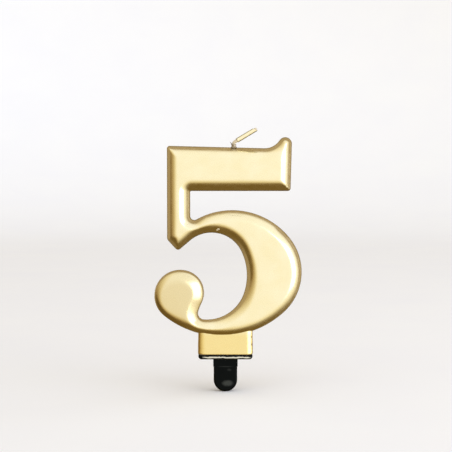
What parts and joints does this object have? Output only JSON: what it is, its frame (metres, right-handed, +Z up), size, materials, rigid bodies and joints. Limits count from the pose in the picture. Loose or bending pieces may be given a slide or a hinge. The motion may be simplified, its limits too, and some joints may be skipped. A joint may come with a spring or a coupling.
{
  "type": "number birthday candle",
  "caption": "Upright metallic gold numeral candle with a bevelled front and back, a short bent wick, a pedestal and a black plastic spike that stands it in a cake.",
  "frame": {"origin": "centre of the holder plate's underside, level with the top of the cake", "axes": "+Z up along the upright candle, -Y out of the front face on which the digit reads the right way round, +X to the reader's right"},
  "size_m": [0.0532, 0.012, 0.0955],
  "materials": {
    "wax": "satin",
    "gold_lacquer": "gloss",
    "wick_cotton": "matte",
    "black_plastic": "gloss"
  },
  "bodies": {
    "candle": {"wax_core": "wax", "gold_lacquer_skin": "gold_lacquer", "wick_lower": "wick_cotton", "wick_collar": "gold_lacquer", "spike_holder": "black_plastic"},
    "free_wick": {"wick_upper": "wick_cotton", "wick_tip_sleeve": "gold_lacquer"}
  },
  "joints": [
    {"name": "wick_bend", "type": "hinge", "parent": "candle", "child": "free_wick", "pos_m": [0.003, 0, 0.0779], "axis": [0, -1, 0], "range_deg": [-15, 59]}
  ]
}
